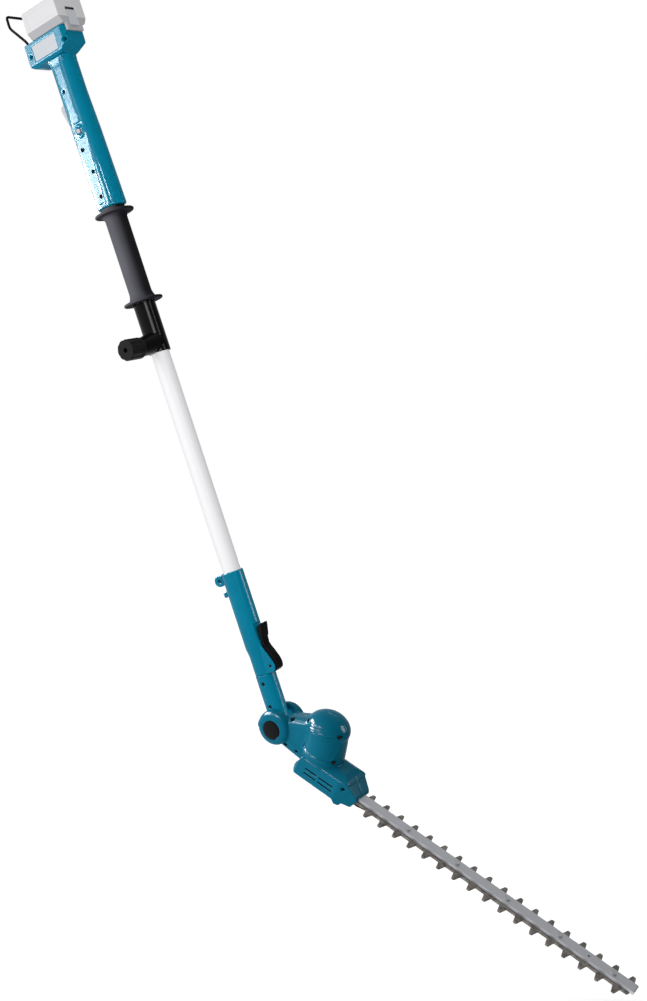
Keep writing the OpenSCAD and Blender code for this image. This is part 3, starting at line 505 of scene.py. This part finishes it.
# ------------------------------------------------------- floor and light
FLOOR_HALF = 12                                      # metres
FLOOR_GAP = 0.03                                     # between the tip and the floor
corners = [(-FLOOR_HALF, -FLOOR_HALF, 0), (FLOOR_HALF, -FLOOR_HALF, 0),
           (FLOOR_HALF, FLOOR_HALF, 0), (-FLOOR_HALF, FLOOR_HALF, 0)]
floor_mesh = bpy.data.meshes.new("floor")
floor_mesh.from_pydata(corners, [], [(0, 1, 2, 3)])
floor = bpy.data.objects.new("floor", floor_mesh)
floor.location.z = cad_box[0][2] - FLOOR_GAP
bpy.context.collection.objects.link(floor)
floor_mesh.materials.append(moulded_plastic("floor", (0.93, 0.93, 0.93), 0.9, grain=0, vary=0.01,
                                            specular=0.0))
floor.visible_diffuse = False                        # it takes the shadow, and sends no light back
floor.visible_glossy = False

# a white studio seen by the eye, and light that comes mostly from the left
TO_LEFT = (-0.93, -0.30, 0.22)
world = bpy.data.worlds.new("studio")
world.use_nodes = True
tree = world.node_tree
back = tree.nodes["Background"]
bright = tree.nodes.new("ShaderNodeBackground")
mix = tree.nodes.new("ShaderNodeMixShader")
path = tree.nodes.new("ShaderNodeLightPath")
where = tree.nodes.new("ShaderNodeTexCoord")
left = tree.nodes.new("ShaderNodeVectorMath")
left.operation = "DOT_PRODUCT"
left.inputs[1].default_value = TO_LEFT
level = tree.nodes.new("ShaderNodeMapRange")
for socket, value in {"From Min": -0.9, "From Max": 0.9, "To Min": 0.16, "To Max": 0.98}.items():
    level.inputs[socket].default_value = value
tree.links.new(where.outputs["Generated"], left.inputs[0])
tree.links.new(left.outputs["Value"], level.inputs["Value"])
tree.links.new(level.outputs["Result"], back.inputs["Strength"])
back.inputs["Color"].default_value = (1, 1, 1, 1)
bright.inputs["Color"].default_value = (1, 1, 1, 1)
tree.links.new(path.outputs["Is Camera Ray"], mix.inputs["Fac"])
tree.links.new(back.outputs[0], mix.inputs[1])
tree.links.new(bright.outputs[0], mix.inputs[2])
tree.links.new(mix.outputs[0], tree.nodes["World Output"].inputs["Surface"])
bpy.context.scene.world = world


def add_light(data, place, target, only=None, diffuse=True, glossy=True):
    """A lamp at place that faces target, and lights only some objects if only lists them."""
    lamp = bpy.data.objects.new(data.name, data)
    lamp.location = place
    lamp.rotation_euler = (Vector(target) - Vector(place)).to_track_quat("-Z", "Y").to_euler()
    lamp.visible_camera = False
    lamp.visible_diffuse = diffuse
    lamp.visible_glossy = glossy
    bpy.context.collection.objects.link(lamp)
    if only:
        receivers = bpy.data.collections.new(data.name + "_receivers")
        for o in only:
            receivers.objects.link(o)
        lamp.light_linking.receiver_collection = receivers


def softbox(name, place, target, size, radiance, **reach):
    """A rectangle of even light. reach is passed on to add_light."""
    data = bpy.data.lights.new(name, "AREA")
    data.shape = "RECTANGLE"
    data.size, data.size_y = size
    data.energy = radiance * math.pi * size[0] * size[1]
    add_light(data, place, target, **reach)


# boxes that show only as highlights on the glossy shells, then light on everything and on the pipe
highlight = {"only": teal_shells, "diffuse": False}
softbox("left_box", (-1.04, -0.937, 0.47), (0, 0, 0.2), (0.95, 0.46), 72, **highlight)
softbox("foot_box", (-1.04, -0.937, 0.85), (0, 0, 0.3), (0.95, 0.28), 15, **highlight)
softbox("front_strip", (-0.10, -1.5, 0.50), (0, 0, 0.15), (0.12, 0.7), 40, **highlight)
softbox("head_box", (-0.64, -0.22, 0.13), (0.05, 0, -0.7), (0.55, 0.45), 110, **highlight)
softbox("top_box", (0.23, -0.96, 0.13), (0.07, 0, -0.75), (0.30, 0.22), 150, **highlight)
softbox("right_strip", (1.23, 0.86, -0.70), (0, 0, -0.58), (0.36, 0.5), 24, **highlight)
softbox("fill", (-0.7, -1.05, 0.65), (0, 0, -0.1), (0.8, 0.8), 2.4, glossy=False)
softbox("upright_box", (1.2, -0.8, -0.15), (0, 0, -0.1), (0.4, 0.9), 9.6, glossy=False,
        only=[*pipes, nodes["label_plate"], *upright_shells, *battery])
softbox("pipe_box", (1.2, -0.8, -0.3), (0, 0, -0.3), (0.3, 0.7), 8, glossy=False, only=pipes)
softbox("sleeve_strip", (1.166, -0.944, 0.1), (0, 0, -0.1), (0.5, 0.6), 14,
        diffuse=False, only=[sleeve])
softbox("sleeve_edge", (1.48, 0.235, 0.1), (0, 0, -0.1), (0.2, 0.6), 8,
        diffuse=False, only=[sleeve])
softbox("grip_box", (-0.68, -1.45, 0.2), (0, 0, 0), (0.6, 0.9), 50, only=[nodes["front_grip"]])
sun = bpy.data.lights.new("floor_light", "SUN")
sun.energy = 1.7
sun.angle = math.radians(60)
add_light(sun, (0, 0, 3), (0, 0, 0), only=[floor])
